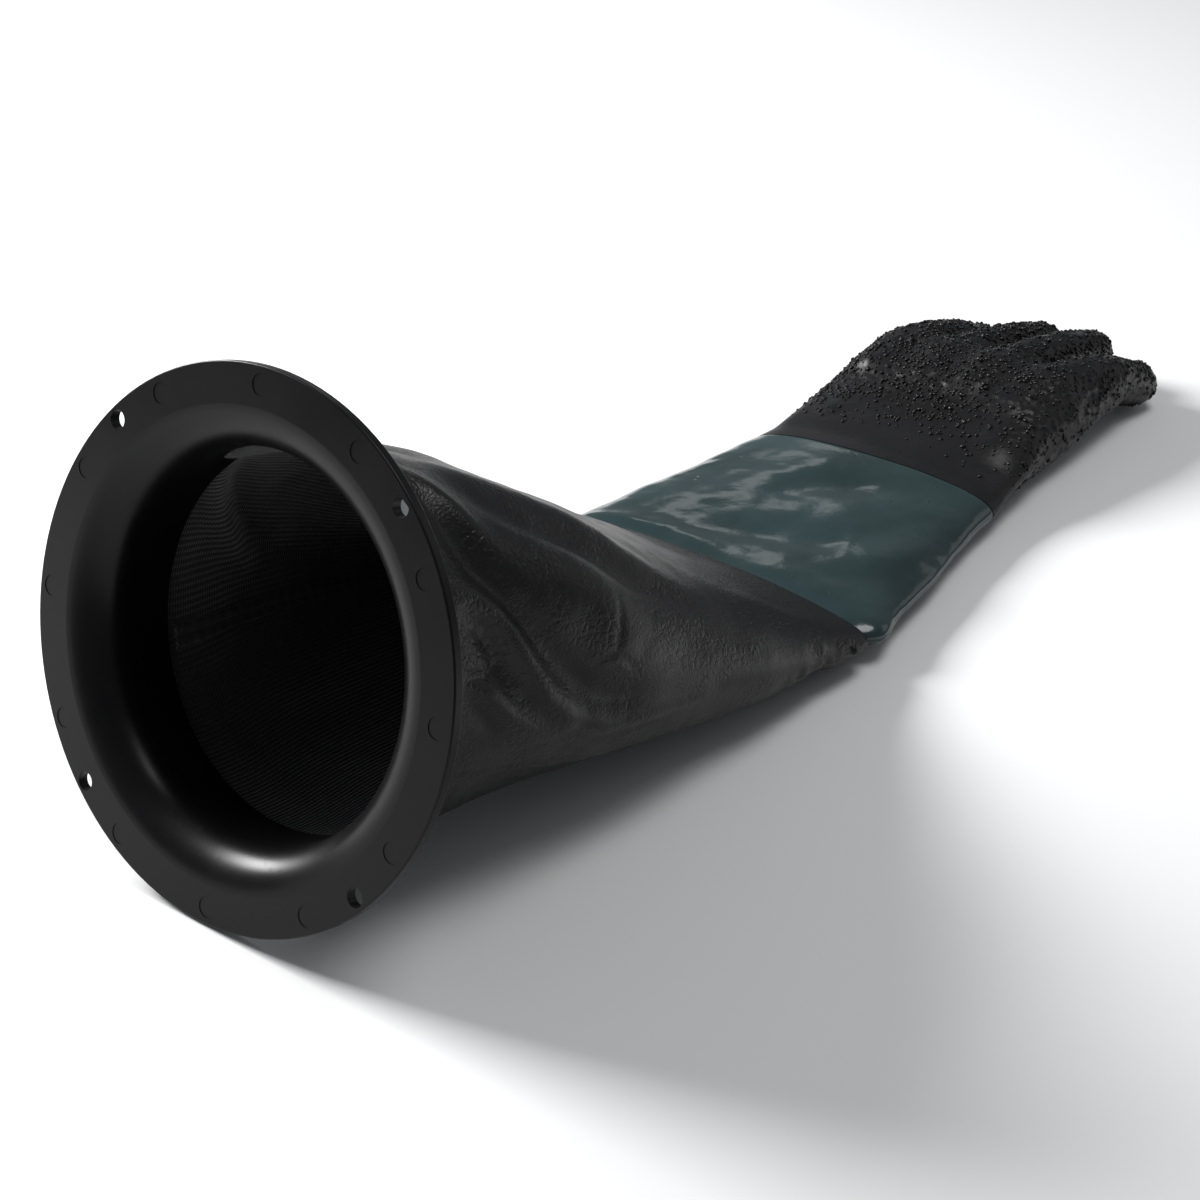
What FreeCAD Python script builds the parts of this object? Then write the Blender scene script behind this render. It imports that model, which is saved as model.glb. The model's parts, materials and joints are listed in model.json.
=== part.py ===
"""Arm glove for a sealed blasting cabinet, drawn as it lies on a bench.

A moulded port flange carries a leatherette sleeve, held on the flange's spigot by a worm-drive clamp.
The sleeve flattens towards a stitched hem, where a PVC gauntlet and a gritted PVC hand carry on.
Row frame: +Z up, +Y from the port towards the fingertips, +X to the right, origin on the bench
below the middle of the glove. Millimetres.
"""
import FreeCAD, Part
import math
import os

import Sketcher

doc = FreeCAD.newDocument("arm_glove")
Vector = FreeCAD.Vector
Placement = FreeCAD.Placement
Rotation = FreeCAD.Rotation
AXIS_X = Vector(1, 0, 0)
AXIS_Y = Vector(0, 1, 0)
AXIS_Z = Vector(0, 0, 1)

# ---------------------------------------------------------------------------------------------
# Driving dimensions
# ---------------------------------------------------------------------------------------------

DIMENSIONS = {
    # where the port stands, and how far it leans back
    "port_along": -335.55,
    "port_lean": 16.4,
    # port flange: a flat ring, a rolled-in mouth and a spigot for the sleeve
    "ring_radius": 120.0,
    "ring_thickness": 5.0,
    "ring_inner_radius": 102.5,
    "bore_radius": 84.0,
    "spigot_wall": 3.0,
    "spigot_depth": 42.5,
    "bolt_circle_radius": 114.0,
    "bolt_hole_radius": 4.25,
    "bolt_first_angle": 48.4,
    "bolt_count": 4,
    "pin_mark_circle_radius": 112.2,
    "pin_mark_radius": 4.75,
    "pin_mark_depth": 0.3,
    "pin_mark_first_angle": 3.4,
    "pin_mark_count": 12,
    "rim_round": 0.8,
    # soft layers, from the outside in, with air between them
    "layer_gap": 0.3,
    "leather_thickness": 1.2,
    "knit_thickness": 0.8,
    "seam_thickness": 1.2,
    "seam_width": 12.0,
    "coat_thickness": 1.4,
    "liner_thickness": 0.9,
    # worm-drive clamp around the sleeve, over the spigot
    "clamp_start": 24.0,
    "clamp_width": 10.0,
    "band_thickness": 0.8,
    "clamp_angle": 160.0,
    "housing_length": 15.0,
    "housing_width": 12.5,
    "housing_height": 9.0,
    "housing_wall": 1.4,
    "screw_radius": 2.6,
    "screw_length": 21.0,
    "screw_head_across": 7.0,
    "screw_head_thickness": 4.5,
    "screw_slot_width": 1.2,
    "screw_slot_depth": 1.5,
    "screw_clearance": 0.35,
    "screw_head_gap": 1.0,
    # folds: hinge lines through the soft tubes, and half of each V-shaped relief, in degrees
    "fold_gap": 0.4,
    "sleeve_fold_along": 240.0,
    "sleeve_fold_height": 39.0,
    "sleeve_fold_up": 13.0,
    "sleeve_fold_down": 13.0,
    "wrist_fold_along": 480.0,
    "wrist_fold_height": 14.3,
    "wrist_fold_up": 18.0,
    "wrist_fold_down": 18.0,
    "knuckle_fold_along": 594.0,
    "knuckle_fold_height": 38.0,
    "knuckle_fold_up": 10.5,
    "knuckle_fold_down": 23.0,
    "thumb_fold_along": 557.0,
    "thumb_fold_across": -75.3,
    "thumb_fold_height": 12.0,
    "thumb_fold_out": 23.0,
    "thumb_fold_in": 0.5,
}

# Ribs of each soft tube: along from the port, across, height, half width, half height, lean in degrees.
# They are the oval outlines of the outer skin, from the port end to the tip.
PORT_LEAN = DIMENSIONS["port_lean"]
RIBS = {
    "sleeve": [
        (18.71, 0, 110.83, 89.6, 89.6, PORT_LEAN),
        (41.73, 0, 104.05, 89.6, 89.6, PORT_LEAN),
        (100, 0, 90, 97, 79, 14),
        (160, 0, 69, 103, 63, 12),
        (220, 0, 46, 105, 44, 10),
        (270, 0, 29, 102, 28, 8),
        (295, 0, 21.6, 99.8, 21, 5),
        (320, 0, 15.3, 97, 15, 3),
    ],
    "gauntlet": [
        (299, 0, 18.5, 92.5, 12, 0),
        (320, 0, 15.3, 94.3, 12.3, 0),
        (332, 0, 14.6, 96, 13.9, 0),
        (375, 0, 14.4, 91, 13.8, 0),
        (430, 0, 14.3, 82.5, 13.6, 0),
        (492, 0, 14.3, 77, 13.6, 0),
    ],
    "palm": [
        (468, 0, 14.3, 78, 13.6, 0),
        (484, 0, 14.6, 76.5, 13.8, -3),
        (520, -4, 21.5, 74, 15, -10),
        (560, -9, 31.5, 72, 16, -10),
        (588, -8, 37.0, 70.5, 16.2, -5),
        (604, -7, 38.0, 70, 16, 0),
    ],
    "thumb_root": [
        (512, -55, 20, 12, 12, 10),
        (540, -68, 14.5, 11.6, 11.6, 8),
        (566, -77, 11.3, 11.0, 11.0, 2),
    ],
}

# Fingers: along, across, height, radius and lean at each rib, and the dome is added past the last one.
FINGERS = {
    "index_finger": [
        (582, -54, 38, 14, 0),
        (598, -54, 37.6, 14, 6),
        (622, -54, 33.0, 14, 17),
        (646, -53, 24.5, 13.6, 21),
        (672, -52, 14.6, 12.8, 19),
    ],
    "middle_finger": [
        (582, -22, 38, 14, 0),
        (598, -22, 37.8, 14, 5),
        (628, -22, 33.5, 14, 14),
        (658, -21, 24.5, 13.6, 19),
        (690, -20, 14.8, 12.8, 16),
    ],
    "ring_finger": [
        (582, 10, 38, 14, 0),
        (598, 10, 37.8, 14, 4),
        (628, 11, 34.5, 14, 12),
        (660, 12.5, 25.5, 13.6, 19),
        (692, 14, 15.2, 12.8, 16),
    ],
    "little_finger": [
        (582, 41.5, 37.5, 14, 0),
        (598, 42.5, 37.2, 14, 4),
        (622, 46.5, 35.0, 14, 8),
        (647, 50, 29.5, 13.6, 18),
        (680, 51.5, 15.6, 12.8, 24),
    ],
    "thumb": [
        (548, -72, 11.6, 11.0, 1),
        (566, -76.5, 11.4, 11.0, 1),
        (592, -80.5, 11.4, 11.0, 0),
        (620, -84, 11.3, 10.8, 0),
    ],
}
DOME_STEPS = (0.35, 0.65, 0.85, 0.96)


def make_sheet():
    """The spreadsheet that every size is bound to."""
    sheet = doc.addObject("Spreadsheet::Sheet", "sizes")
    rows = list(DIMENSIONS.items())
    fields = ("along", "across", "height", "half_width", "half_height", "lean")
    for tube, ribs in RIBS.items():
        for index, rib in enumerate(ribs):
            rows += [(f"{tube}_rib{index}_{field}", value) for field, value in zip(fields, rib)]
    fields = ("along", "across", "height", "radius", "lean")
    for finger, ribs in FINGERS.items():
        for index, rib in enumerate(ribs):
            rows += [(f"{finger}_rib{index}_{field}", value) for field, value in zip(fields, rib)]
    for row, (alias, value) in enumerate(rows, start=1):
        sheet.set(f"A{row}", alias)
        sheet.set(f"B{row}", str(value))
        sheet.setAlias(f"B{row}", alias)
    doc.recompute()
    return sheet


sizes = make_sheet()


def size(alias):
    """The value of one cell."""
    return float(sizes.get(alias))


def bind(item, prop, expression):
    """Bind a property to the sheet, where each alias is written bare with a leading #."""
    item.setExpression(prop, expression.replace("#", "sizes."))


# ---------------------------------------------------------------------------------------------
# Places
# ---------------------------------------------------------------------------------------------


def in_row(along, across=0.0, height=0.0):
    """A point given by its distance along from the port, as a point of the row frame."""
    return Vector(across, size("port_along") + along, height)


def port_placement():
    """The port's own frame: local +Z into the glove, local +X to the right, origin on the front face."""
    lean = math.radians(size("port_lean"))
    edge = size("rim_round")
    height = (size("ring_radius") - edge) * math.cos(lean) + edge
    height += (size("ring_thickness") - edge) * math.sin(lean)
    return Placement(in_row(0, 0, height), Rotation(AXIS_X, -90 - size("port_lean")))


def on_clamp(angle):
    """The port's frame turned about its axis to an angle seen from the front, at the clamp's middle."""
    middle = size("clamp_start") + size("clamp_width") / 2
    turn = Placement(Vector(0, 0, middle), Rotation(AXIS_Z, -angle))
    return port_placement().multiply(turn)


def rib_placement(alias):
    """A rib's plane: upright across the glove, leaning back towards the fingertips."""
    along, across, height, lean = (size(f"{alias}_{key}") for key in ("along", "across", "height", "lean"))
    return Placement(in_row(along, across, height), Rotation(AXIS_X, 90 - lean))


# ---------------------------------------------------------------------------------------------
# Port flange and clamp
# ---------------------------------------------------------------------------------------------


def make_body(name):
    """A PartDesign body with its own label."""
    body = doc.addObject("PartDesign::Body", name)
    body.Label = name
    return body


def sketch_on(body, name, role):
    """A sketch on one of the body's own origin planes."""
    plane = next(item for item in body.Origin.OriginFeatures if item.Role == role)
    sketch = body.newObject("Sketcher::SketchObject", name)
    sketch.AttachmentSupport = [(plane, "")]
    sketch.MapMode = "FlatFace"
    return sketch


def origin_axis(body, role):
    """One of the body's own origin axes, as a link for a revolution or a pattern."""
    axis = next(item for item in body.Origin.OriginFeatures if item.Role == role)
    return (axis, [""])


def circle_sketch(body, name, radius_alias, circle_alias, angle_alias):
    """A sketch on the front face with one circle on a pitch circle, at its first angle."""
    sketch = sketch_on(body, name, "XY_Plane")
    angle = -math.radians(size(angle_alias))
    reach = size(circle_alias)
    centre = Vector(reach * math.cos(angle), reach * math.sin(angle), 0)
    sketch.addGeometry(Part.Circle(centre, AXIS_Z, size(radius_alias)), False)
    sketch.addConstraint(Sketcher.Constraint("Radius", 0, size(radius_alias)))
    sketch.addConstraint(Sketcher.Constraint("DistanceX", -1, 1, 0, 3, centre.x))
    sketch.addConstraint(Sketcher.Constraint("DistanceY", -1, 1, 0, 3, centre.y))
    bind(sketch, "Constraints[0]", f"#{radius_alias}")
    bind(sketch, "Constraints[1]", f"#{circle_alias} * cos(#{angle_alias})")
    bind(sketch, "Constraints[2]", f"-#{circle_alias} * sin(#{angle_alias})")
    return sketch


def pocket_pattern(body, sketch, name, count_alias, axis, through, depth_alias=None):
    """Cut the sketch's circle into the ring and repeat it around the port's axis."""
    before = body.Shape.Volume
    pocket = body.newObject("PartDesign::Pocket", name)
    pocket.Profile = sketch
    pocket.Reversed = True
    if through:
        pocket.Type = 1
    else:
        bind(pocket, "Length", f"#{depth_alias}")
    doc.recompute()
    if body.Shape.Volume >= before:
        raise RuntimeError(f"{name} cut nothing")
    pattern = body.newObject("PartDesign::PolarPattern", name + "_pattern")
    pattern.Originals = [pocket]
    pattern.Axis = axis
    bind(pattern, "Occurrences", f"#{count_alias}")
    pattern.Angle = 360
    body.Tip = pattern
    doc.recompute()


def make_port_flange():
    """Moulded ring, rolled-in mouth and spigot, turned in one profile about the port's axis."""
    body = make_body("port_flange")
    sketch = sketch_on(body, "flange_profile", "XZ_Plane")
    ring = size("ring_radius")
    thick = size("ring_thickness")
    inner = size("ring_inner_radius")
    bore = size("bore_radius")
    wall = size("spigot_wall")
    depth = size("spigot_depth")
    roll = inner - bore
    corners = [
        (inner, 0),
        (ring, 0),
        (ring, thick),
        (inner + thick - wall, thick),
        (inner, wall),
        (bore + wall, roll),
        (bore + wall, depth),
        (bore, depth),
        (bore, roll),
    ]
    points = [Vector(radius, back, 0) for radius, back in corners]
    centre = Vector(inner, roll, 0)
    for start in (0, 1, 2, 3):
        sketch.addGeometry(Part.LineSegment(points[start], points[start + 1]), False)
    back_of_roll = Part.Circle(centre, AXIS_Z, roll - wall)
    sketch.addGeometry(Part.ArcOfCircle(back_of_roll, math.pi, 1.5 * math.pi), False)
    for start in (5, 6, 7):
        sketch.addGeometry(Part.LineSegment(points[start], points[start + 1]), False)
    front_of_roll = Part.Circle(centre, AXIS_Z, roll)
    sketch.addGeometry(Part.ArcOfCircle(front_of_roll, math.pi, 1.5 * math.pi), False)
    # each entry joins the end of one edge to the start of the next: edge, its end, next edge, its start
    joins = [(0, 2, 1, 1), (1, 2, 2, 1), (2, 2, 3, 1), (3, 2, 4, 2), (4, 1, 5, 1), (5, 2, 6, 1), (6, 2, 7, 1)]
    joins += [(7, 2, 8, 1), (8, 2, 0, 1)]
    for join in joins:
        sketch.addConstraint(Sketcher.Constraint("Coincident", *join))
    for edge in (0, 2, 6):
        sketch.addConstraint(Sketcher.Constraint("Horizontal", edge))
    for edge in (1, 5, 7):
        sketch.addConstraint(Sketcher.Constraint("Vertical", edge))
    sketch.addConstraint(Sketcher.Constraint("Coincident", 4, 3, 8, 3))
    sizes_of_profile = [
        ("DistanceX", (0, 1), inner, "#ring_inner_radius"),
        ("DistanceY", (0, 1), 0, None),
        ("DistanceX", (0, 2), ring, "#ring_radius"),
        ("DistanceY", (1, 2), thick, "#ring_thickness"),
        ("DistanceX", (3, 1), inner + thick - wall, "#ring_inner_radius + #ring_thickness - #spigot_wall"),
        ("DistanceX", (4, 3), inner, "#ring_inner_radius"),
        ("DistanceY", (4, 3), roll, "#ring_inner_radius - #bore_radius"),
        ("DistanceX", (4, 1), bore + wall, "#bore_radius + #spigot_wall"),
        ("DistanceY", (4, 1), roll, "#ring_inner_radius - #bore_radius"),
        ("DistanceX", (3, 2), inner, "#ring_inner_radius"),
        ("DistanceY", (5, 2), depth, "#spigot_depth"),
        ("DistanceY", (8, 1), roll, "#ring_inner_radius - #bore_radius"),
    ]
    for kind, (edge, point), value, expression in sizes_of_profile:
        number = sketch.addConstraint(Sketcher.Constraint(kind, -1, 1, edge, point, value))
        if expression:
            bind(sketch, f"Constraints[{number}]", expression)
    turn = body.newObject("PartDesign::Revolution", "flange_turn")
    turn.Profile = sketch
    turn.ReferenceAxis = (sketch, ["V_Axis"])
    turn.Angle = 360
    body.Tip = turn
    doc.recompute()
    rim_edges = []
    for number, edge in enumerate(body.Shape.Edges, start=1):
        if isinstance(edge.Curve, Part.Circle) and abs(edge.Curve.Radius - ring) < 0.01:
            rim_edges.append(f"Edge{number}")
    rounded = body.newObject("PartDesign::Fillet", "rim_fillet")
    rounded.Base = (turn, rim_edges)
    bind(rounded, "Radius", "#rim_round")
    body.Tip = rounded
    doc.recompute()

    ring_axis = origin_axis(body, "Z_Axis")
    holes = circle_sketch(body, "bolt_hole", "bolt_hole_radius", "bolt_circle_radius", "bolt_first_angle")
    pocket_pattern(body, holes, "bolt_holes", "bolt_count", ring_axis, through=True)
    marks = circle_sketch(
        body, "pin_mark", "pin_mark_radius", "pin_mark_circle_radius", "pin_mark_first_angle"
    )
    pocket_pattern(body, marks, "pin_marks", "pin_mark_count", ring_axis, False, "pin_mark_depth")
    body.Placement = port_placement()
    return body


def make_clamp_band():
    """Steel band of the worm-drive clamp, around the sleeve's cuff."""
    outer = doc.addObject("Part::Cylinder", "band_outside")
    inner = doc.addObject("Part::Cylinder", "band_inside")
    over_sleeve = "#sleeve_rib0_half_width + #layer_gap"
    bind(outer, "Radius", over_sleeve + " + #band_thickness")
    bind(inner, "Radius", over_sleeve)
    for cylinder in (outer, inner):
        bind(cylinder, "Height", "#clamp_width")
        start = Vector(0, 0, size("clamp_start"))
        cylinder.Placement = port_placement().multiply(Placement(start, Rotation()))
    return cut_pieces("clamp_band", outer, [inner])


def centred_box(name, length, width, height, lift, placement):
    """A box centred on its length and width, with its underside at lift above the placement's origin."""
    box = doc.addObject("Part::Box", name)
    bind(box, "Length", length)
    bind(box, "Width", width)
    bind(box, "Height", height)
    doc.recompute()
    corner = Vector(-box.Length.Value / 2, -box.Width.Value / 2, lift)
    box.Placement = placement.multiply(Placement(corner, Rotation()))
    return box


def clamp_seat():
    """The frame of the clamp's housing: local +Z outwards, local +X along the screw."""
    outwards = Placement(Vector(), Rotation(Vector(0, 1, 0), Vector(0, 0, 1), Vector(1, 0, 0), "ZXY"))
    return on_clamp(size("clamp_angle")).multiply(outwards)


def band_top():
    """Height of the band's outer face above the port's axis."""
    return size("sleeve_rib0_half_width") + size("layer_gap") + size("band_thickness")


def screw_height():
    """Height of the worm screw's axis above the port's axis."""
    floor = band_top() + size("layer_gap") + size("housing_wall")
    return floor + size("screw_radius") + size("screw_clearance")


def make_clamp_housing():
    """Folded steel housing that holds the worm screw over the band."""
    seat = clamp_seat()
    lift = band_top() + size("layer_gap")
    shell = centred_box("housing_block", "#housing_length", "#housing_width", "#housing_height", lift, seat)
    tunnel = doc.addObject("Part::Cylinder", "housing_tunnel")
    bind(tunnel, "Radius", "#screw_radius + #screw_clearance")
    bind(tunnel, "Height", "#housing_length * 2")
    start = Placement(Vector(-size("housing_length"), 0, screw_height()), Rotation(AXIS_Y, 90))
    tunnel.Placement = seat.multiply(start)
    return cut_pieces("clamp_housing", shell, [tunnel])


def make_clamp_screw():
    """Worm screw: a shank through the housing and a slotted hexagon head."""
    seat = clamp_seat()
    body = make_body("clamp_screw")
    shank = body.newObject("PartDesign::AdditiveCylinder", "screw_shank")
    bind(shank, "Radius", "#screw_radius")
    bind(shank, "Height", "#screw_length")
    head = body.newObject("PartDesign::AdditivePrism", "screw_head")
    head.Polygon = 6
    bind(head, "Circumradius", "#screw_head_across / 2 / cos(30)")
    bind(head, "Height", "#screw_head_thickness")
    slot = body.newObject("PartDesign::SubtractiveBox", "screw_slot")
    bind(slot, "Length", "#screw_head_across * 2")
    bind(slot, "Width", "#screw_slot_width")
    bind(slot, "Height", "#screw_slot_depth * 2")
    shank_length = size("screw_length")
    slot_floor = shank_length + size("screw_head_thickness") - size("screw_slot_depth")
    slot_corner = Vector(-size("screw_head_across"), -size("screw_slot_width") / 2, slot_floor)
    for feature, corner in ((head, Vector(0, 0, shank_length)), (slot, slot_corner)):
        feature.AttachmentOffset = Placement(corner, Rotation())
        feature.Placement = Placement(corner, Rotation())
    body.Tip = slot
    tip = Vector(size("housing_length") / 2 + size("screw_head_gap") - shank_length, 0, screw_height())
    body.Placement = seat.multiply(Placement(tip, Rotation(AXIS_Y, 90)))
    return body


# ---------------------------------------------------------------------------------------------
# Soft tubes
# ---------------------------------------------------------------------------------------------


def cut_pieces(label, base, tools):
    """Cut every tool from base in turn, and give the last cut the label."""
    result = base
    for index, tool in enumerate(tools):
        cut = doc.addObject("Part::Cut", f"{label}_cut{index}")
        cut.Base = result
        cut.Tool = tool
        result = cut
    result.Label = label
    return result


def oval_loft(name, tube, inset, first=0, last=None):
    """A closed loft through a tube's oval ribs, each inset from the outer skin by an expression."""
    ribs = []
    count = len(RIBS[tube])
    for index in range(count)[first:last]:
        rib = doc.addObject("Part::Ellipse", f"{name}_rib{index}")
        alias = f"{tube}_rib{index}"
        bind(rib, "MajorRadius", f"#{alias}_half_width - ({inset})")
        bind(rib, "MinorRadius", f"#{alias}_half_height - ({inset})")
        rib.Placement = rib_placement(alias)
        ribs.append(rib)
    loft = doc.addObject("Part::Loft", name)
    loft.Sections = ribs
    loft.Solid = True
    loft.Ruled = True
    return loft


def finger_loft(name, finger, inset):
    """A closed loft through a finger's round ribs and its domed tip, inset by an expression."""
    ribs = []
    last = len(FINGERS[finger]) - 1
    for index in range(last + 1):
        rib = doc.addObject("Part::Ellipse", f"{name}_rib{index}")
        alias = f"{finger}_rib{index}"
        bind(rib, "MajorRadius", f"#{alias}_radius - ({inset})")
        bind(rib, "MinorRadius", f"#{alias}_radius - ({inset})")
        rib.Placement = rib_placement(alias)
        ribs.append(rib)
    alias = f"{finger}_rib{last}"
    doc.recompute()
    tip = ribs[-1].Placement
    tip_radius = ribs[-1].MajorRadius.Value
    for step, share in enumerate(DOME_STEPS):
        rib = doc.addObject("Part::Ellipse", f"{name}_dome{step}")
        narrow = math.sqrt(1 - share * share)
        bind(rib, "MajorRadius", f"(#{alias}_radius - ({inset})) * {narrow:.4f}")
        bind(rib, "MinorRadius", f"(#{alias}_radius - ({inset})) * {narrow:.4f}")
        rib.Placement = tip.multiply(Placement(Vector(0, 0, -tip_radius * share), Rotation()))
        ribs.append(rib)
    loft = doc.addObject("Part::Loft", name)
    loft.Sections = ribs
    loft.Solid = True
    loft.Ruled = True
    return loft


TOOL_SPAN = 600.0


def half_space(name, point, axis, forward, degrees, keep_front):
    """A big box with one face on the plane through point, whose normal is forward turned about axis.

    The box lies behind the plane when keep_front is true, and in front of it otherwise.
    """
    normal = Rotation(axis, degrees).multVec(forward)
    gap = size("fold_gap") / 2
    box = doc.addObject("Part::Box", name)
    box.Length = TOOL_SPAN
    box.Width = TOOL_SPAN
    box.Height = TOOL_SPAN
    turn = Rotation(axis, axis.cross(normal), normal, "ZXY")
    middle = Vector(-TOOL_SPAN / 2, -TOOL_SPAN / 2, 0)
    offset = gap - TOOL_SPAN if keep_front else -gap
    box.Placement = Placement(point, turn).multiply(Placement(middle + Vector(0, 0, offset), Rotation()))
    return box


def fold_tools(name, fold, keep_front):
    """The two boxes that trim a soft tube to one side of a fold, each slanted by half the relief."""
    if fold == "thumb":
        point = in_row(size("thumb_fold_along"), size("thumb_fold_across"), size("thumb_fold_height"))
        axis = AXIS_Z
        up, down = size("thumb_fold_out"), size("thumb_fold_in")
    else:
        point = in_row(size(f"{fold}_fold_along"), 0, size(f"{fold}_fold_height"))
        axis = AXIS_X
        up, down = size(f"{fold}_fold_up"), size(f"{fold}_fold_down")
    angles = (-up, down) if keep_front else (up, -down)
    return [
        half_space(f"{name}_{fold}_trim{index}", point, axis, AXIS_Y, angle, keep_front)
        for index, angle in enumerate(angles)
    ]


def seam_plane_placement():
    """The plane that holds both side seams of the sleeve, local +Y along the sleeve, local +Z up."""
    start = in_row(size("sleeve_rib1_along"), 0, size("sleeve_rib1_height"))
    end = in_row(size("sleeve_rib7_along"), 0, size("sleeve_rib7_height"))
    slope = math.degrees(math.atan2(end.z - start.z, end.y - start.y))
    return Placement(start, Rotation(AXIS_X, slope))


def slab(name, bottom, top, left=-TOOL_SPAN / 2, right=TOOL_SPAN / 2):
    """A box along the sleeve's seam plane, between two heights and two sides."""
    box = doc.addObject("Part::Box", name)
    box.Length = right - left
    box.Width = TOOL_SPAN * 2
    box.Height = top - bottom
    box.Placement = seam_plane_placement().multiply(Placement(Vector(left, -TOOL_SPAN, bottom), Rotation()))
    return box


def sleeve_layer(label, outer_inset, inner_inset, tools, keep, first=0, last=None):
    """One layer of the sleeve between two insets, kept inside a slab and trimmed by the tools."""
    outside = oval_loft(label + "_outside", "sleeve", outer_inset, first, last)
    inside = oval_loft(label + "_inside", "sleeve", inner_inset, first, last)
    if keep is None:
        return cut_pieces(label, outside, tools + [inside])
    shell = cut_pieces(label + "_whole", outside, tools + [inside])
    side = doc.addObject("Part::Common", label + "_side")
    side.Base = shell
    side.Tool = keep
    side.Label = label
    return side


LEATHER = "#leather_thickness"
KNIT_OUT = "#leather_thickness + #layer_gap"
KNIT_IN = KNIT_OUT + " + #knit_thickness"
SEAM_OUT = KNIT_IN + " + #layer_gap"
SEAM_IN = SEAM_OUT + " + #seam_thickness"
COAT = "#coat_thickness"
LINER_OUT = "#coat_thickness + #layer_gap"
LINER_IN = LINER_OUT + " + #liner_thickness"


def make_sleeve():
    """The sleeve's two leatherette panels, knit backing and seam allowances, either side of the fold."""
    pieces = []
    gap = size("fold_gap") / 2
    half_seam = size("seam_width") / 2
    for part, keep_front in (("sleeve", False), ("sleeve_end", True)):
        first, last = (0, 6) if part == "sleeve" else (3, None)
        for panel, bottom, top in (("top", gap, TOOL_SPAN), ("bottom", -TOOL_SPAN, -gap)):
            label = f"{part}_panel_{panel}"
            tools = fold_tools(label, "sleeve", keep_front)
            keep = slab(label + "_slab", bottom, top)
            pieces.append(sleeve_layer(label, "0", LEATHER, tools, keep, first, last))
        label = f"{part}_backing"
        tools = fold_tools(label, "sleeve", keep_front)
        pieces.append(sleeve_layer(label, KNIT_OUT, KNIT_IN, tools, None, first, last))
        first, last = (1, 6) if part == "sleeve" else (3, 7)
        for side, left, right in (("left", -TOOL_SPAN / 2, 0), ("right", 0, TOOL_SPAN / 2)):
            label = f"{part}_seam_{side}"
            tools = fold_tools(label, "sleeve", keep_front)
            keep = slab(label + "_slab", -half_seam, half_seam, left, right)
            pieces.append(sleeve_layer(label, SEAM_OUT, SEAM_IN, tools, keep, first, last))
    return pieces


def make_gauntlet():
    """PVC-coated forearm, with its cotton liner, from inside the sleeve's hem to the wrist."""
    pieces = []
    for label, outer_inset, inner_inset in (
        ("gauntlet_coat", "0", COAT),
        ("gauntlet_liner", LINER_OUT, LINER_IN),
    ):
        outside = oval_loft(label + "_outside", "gauntlet", outer_inset)
        inside = oval_loft(label + "_inside", "gauntlet", inner_inset)
        tools = fold_tools(label, "wrist", keep_front=False) + [inside]
        pieces.append(cut_pieces(label, outside, tools))
    return pieces


def fused(name, items):
    """One solid made of overlapping ones."""
    joined = doc.addObject("Part::MultiFuse", name)
    joined.Shapes = items
    return joined


def make_palm():
    """Gritted PVC palm with the thumb's root moulded on, and its liner."""
    pieces = []
    for label, outer_inset, inner_inset in (("palm_coat", "0", COAT), ("palm_liner", LINER_OUT, LINER_IN)):
        solids = []
        for side, inset in (("outside", outer_inset), ("inside", inner_inset)):
            hand = oval_loft(f"{label}_{side}_hand", "palm", inset)
            root = oval_loft(f"{label}_{side}_root", "thumb_root", inset)
            trims = fold_tools(f"{label}_{side}", "thumb", False)
            root_cut = cut_pieces(f"{label}_{side}_root_cut", root, trims)
            solids.append(fused(f"{label}_{side}_solid", [hand, root_cut if side == "outside" else root]))
        tools = fold_tools(label, "wrist", keep_front=True)
        tools += fold_tools(label, "knuckle", keep_front=False)
        tools += [solids[1]]
        pieces.append(cut_pieces(label, solids[0], tools))
    return pieces


def make_finger(finger):
    """One finger's gritted coat and its liner, open towards the palm."""
    fold = "thumb" if finger == "thumb" else "knuckle"
    pieces = []
    for layer, outer_inset, inner_inset in (("coat", "0", COAT), ("liner", LINER_OUT, LINER_IN)):
        label = f"{finger}_{layer}"
        outside = finger_loft(label + "_outside", finger, outer_inset)
        inside = finger_loft(label + "_inside", finger, inner_inset)
        pieces.append(cut_pieces(label, outside, fold_tools(label, fold, keep_front=True) + [inside]))
    return pieces


def main():
    """Build every piece, check it and write it."""
    pieces = [make_port_flange(), make_clamp_band(), make_clamp_housing(), make_clamp_screw()]
    pieces += make_sleeve()
    pieces += make_gauntlet()
    pieces += make_palm()
    for finger in FINGERS:
        pieces += make_finger(finger)
    doc.recompute()
    for item in doc.Objects:
        if "Invalid" in item.State or "Error" in item.State:
            raise RuntimeError(f"{item.Name} failed: {item.State}")
    os.makedirs("parts", exist_ok=True)
    for piece in pieces:
        shape = piece.Shape
        if shape.isNull() or not shape.isValid():
            raise RuntimeError(f"{piece.Label} has no valid shape")
        print(f"{piece.Label:28s} solids {len(shape.Solids)} volume {shape.Volume / 1000:8.1f} cm3")
        shape.exportStep(f"parts/{piece.Label}.step")


main()
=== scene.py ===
import json
import math

import bpy
import numpy as np
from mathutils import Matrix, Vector, noise


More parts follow.
